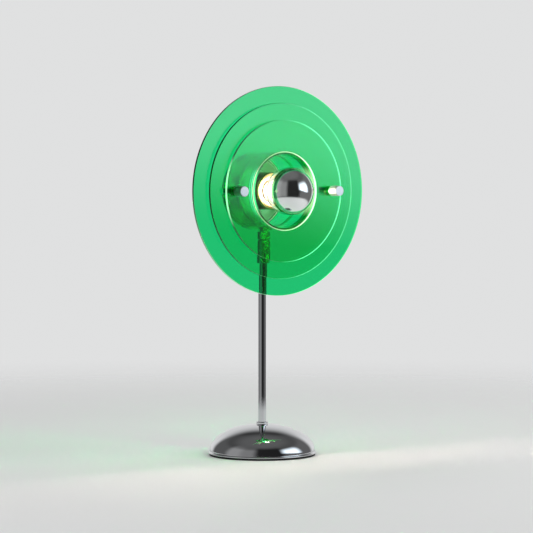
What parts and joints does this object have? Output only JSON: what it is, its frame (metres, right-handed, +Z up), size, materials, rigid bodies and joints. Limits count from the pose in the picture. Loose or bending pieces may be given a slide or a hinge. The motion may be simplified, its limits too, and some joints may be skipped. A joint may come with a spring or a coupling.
{
  "type": "table lamp",
  "caption": "Table lamp with a turning head: stacked clear green rings round a tube, a crown-silvered globe bulb on a brushed plate, a slim chromed stem and a domed, weighted foot.",
  "frame": {"origin": "centre of the foot's underside, on the table", "axes": "+Z up along the stem; -Y the way the head faces at rest; +X to the right of someone who faces the lamp"},
  "size_m": [0.26, 0.1625, 0.462],
  "materials": {
    "chrome": "mirror-bright chrome plate",
    "brushed": "turned and brushed in rings",
    "steel": "plain zinc-plated steel",
    "cast_iron": "rough black cast iron",
    "pad": "matt black rubber sheet",
    "black_plastic": "moulded dark brown plastic",
    "bronze_ring": "polished warm brass",
    "brass": "plain turned brass",
    "ceramic": "glazed white porcelain",
    "lead_sheath": "smooth white cable sheath",
    "green_acrylic": "clear green acrylic with polished edges",
    "bulb_glass": "clear blown glass",
    "silvering": "silvered crown",
    "tungsten": "glowing wire",
    "insulator": "black glass"
  },
  "bodies": {
    "stand": {"base_pad": "pad", "base_plate": "steel", "base_plate_screw_1": "steel", "base_plate_screw_2": "steel", "base_plate_screw_3": "steel", "base_dome": "chrome", "base_weight": "cast_iron", "cable_gland": "black_plastic", "terminal_block": "ceramic", "stem_tube": "chrome", "stem_collar": "chrome", "stem_washer": "steel", "stem_nut": "steel", "lead_lower": "lead_sheath", "swivel_sleeve": "chrome", "sleeve_set_screw": "steel", "swivel_nipple": "brass", "swivel_washer": "black_plastic", "swivel_nut": "brass"},
    "head": {"swivel_cap": "chrome", "neck": "chrome", "neck_saddle": "brass", "neck_nut": "brass", "lead_upper": "lead_sheath", "back_plate": "brushed", "rear_tube": "green_acrylic", "front_tube": "green_acrylic", "disc_small": "green_acrylic", "disc_middle": "green_acrylic", "disc_large": "green_acrylic", "stud_cap_front_left": "chrome", "stud_cap_front_right": "chrome", "stud_cap_rear_left": "chrome", "stud_cap_rear_right": "chrome", "stud_washer_left": "black_plastic", "stud_washer_right": "black_plastic", "stud_spacer_front_left": "green_acrylic", "stud_spacer_front_right": "green_acrylic", "stud_spacer_rear_left": "green_acrylic", "stud_spacer_rear_right": "green_acrylic", "stud_rod_left": "steel", "stud_rod_right": "steel", "lampholder_housing": "black_plastic", "lampholder_ring": "bronze_ring", "lampholder_core": "ceramic", "lampholder_screw_shell": "brass", "lampholder_contact": "brass", "lampholder_nipple": "brass", "lampholder_washer": "steel", "lampholder_nut": "steel"},
    "bulb": {"bulb_glass": "bulb_glass", "bulb_mirror": "silvering", "bulb_cap": "brass", "bulb_insulator": "insulator", "bulb_contact": "steel", "bulb_mount": "bulb_glass", "bulb_filament": "tungsten"}
  },
  "joints": [
    {"name": "head_turn", "type": "hinge", "parent": "stand", "child": "head", "pos_m": [0, 0, 0.2707], "axis": [0, 0, 1], "range_deg": [-165, 165]},
    {"name": "bulb_draw", "type": "slide", "parent": "head", "child": "bulb", "axis": [0, -1, 0], "range_m": [0, 0.045]}
  ]
}
